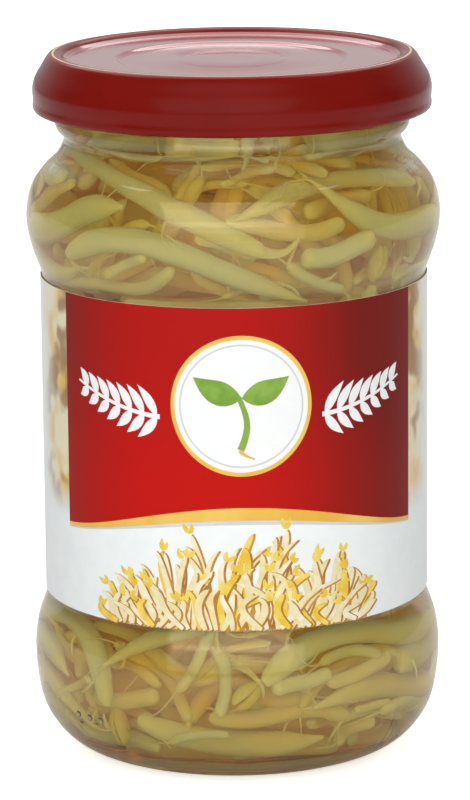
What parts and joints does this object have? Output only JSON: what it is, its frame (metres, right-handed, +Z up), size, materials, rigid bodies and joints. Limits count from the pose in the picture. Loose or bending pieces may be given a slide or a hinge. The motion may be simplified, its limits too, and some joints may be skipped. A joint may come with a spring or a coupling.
{
  "type": "jar of bean sprouts",
  "caption": "Round glass jar with a recessed label panel and a steel twist-off lid, filled with bean sprouts lying in brine.",
  "frame": {"origin": "middle of the circle that the jar stands on", "axes": "+Z up through the lid, +Y towards the label's lap at the back"},
  "size_m": [0.0724, 0.0724, 0.1235],
  "materials": {
    "clear_glass": "gloss",
    "label_paper": "satin",
    "brine": "gloss",
    "lid_lacquer": "gloss",
    "sealing_compound": "satin",
    "sprout_flesh": "satin",
    "seed_leaf": "satin"
  },
  "bodies": {
    "jar": {"glass_jar": "clear_glass", "label": "label_paper", "brine": "brine", "sprout_01": "sprout_flesh", "sprout_02": "sprout_flesh", "sprout_03": "sprout_flesh", "sprout_04": "sprout_flesh", "sprout_05": "sprout_flesh", "sprout_06": "sprout_flesh", "sprout_07": "sprout_flesh", "sprout_08": "sprout_flesh", "sprout_09": "sprout_flesh", "sprout_10": "sprout_flesh", "sprout_11": "sprout_flesh", "sprout_12": "sprout_flesh", "sprout_13": "sprout_flesh", "sprout_14": "sprout_flesh", "sprout_15": "sprout_flesh", "sprout_16": "sprout_flesh", "sprout_17": "sprout_flesh", "sprout_18": "sprout_flesh", "sprout_19": "sprout_flesh", "sprout_20": "sprout_flesh", "sprout_21": "sprout_flesh", "sprout_22": "sprout_flesh", "sprout_23": "sprout_flesh", "sprout_24": "sprout_flesh", "sprout_25": "sprout_flesh", "sprout_26": "sprout_flesh", "sprout_27": "sprout_flesh", "sprout_28": "sprout_flesh", "sprout_29": "sprout_flesh", "sprout_30": "sprout_flesh", "sprout_31": "sprout_flesh", "sprout_32": "sprout_flesh", "sprout_33": "sprout_flesh", "sprout_34": "sprout_flesh", "sprout_35": "sprout_flesh", "sprout_36": "sprout_flesh", "sprout_37": "sprout_flesh", "sprout_38": "sprout_flesh", "sprout_39": "sprout_flesh", "sprout_40": "sprout_flesh", "sprout_41": "sprout_flesh", "sprout_42": "sprout_flesh", "seed_leaves_01": "seed_leaf", "seed_leaves_02": "seed_leaf", "seed_leaves_03": "seed_leaf", "seed_leaves_04": "seed_leaf", "seed_leaves_05": "seed_leaf", "seed_leaves_06": "seed_leaf", "seed_leaves_07": "seed_leaf", "seed_leaves_08": "seed_leaf"},
    "seal": {"seal_ring": "sealing_compound"},
    "lid": {"lid_shell": "lid_lacquer"}
  },
  "joints": [
    {"name": "lid_rise", "type": "slide", "parent": "jar", "child": "seal", "axis": [0, 0, 1], "range_m": [0, 0.0023]},
    {"name": "lid_twist", "type": "hinge", "parent": "seal", "child": "lid", "pos_m": [0, 0, 0.1135], "axis": [0, 0, 1], "range_deg": [0, 66]}
  ],
  "couplings": [
    {"joint": "lid_rise", "follows": "lid_twist", "m_per_rad": 0.00194}
  ]
}
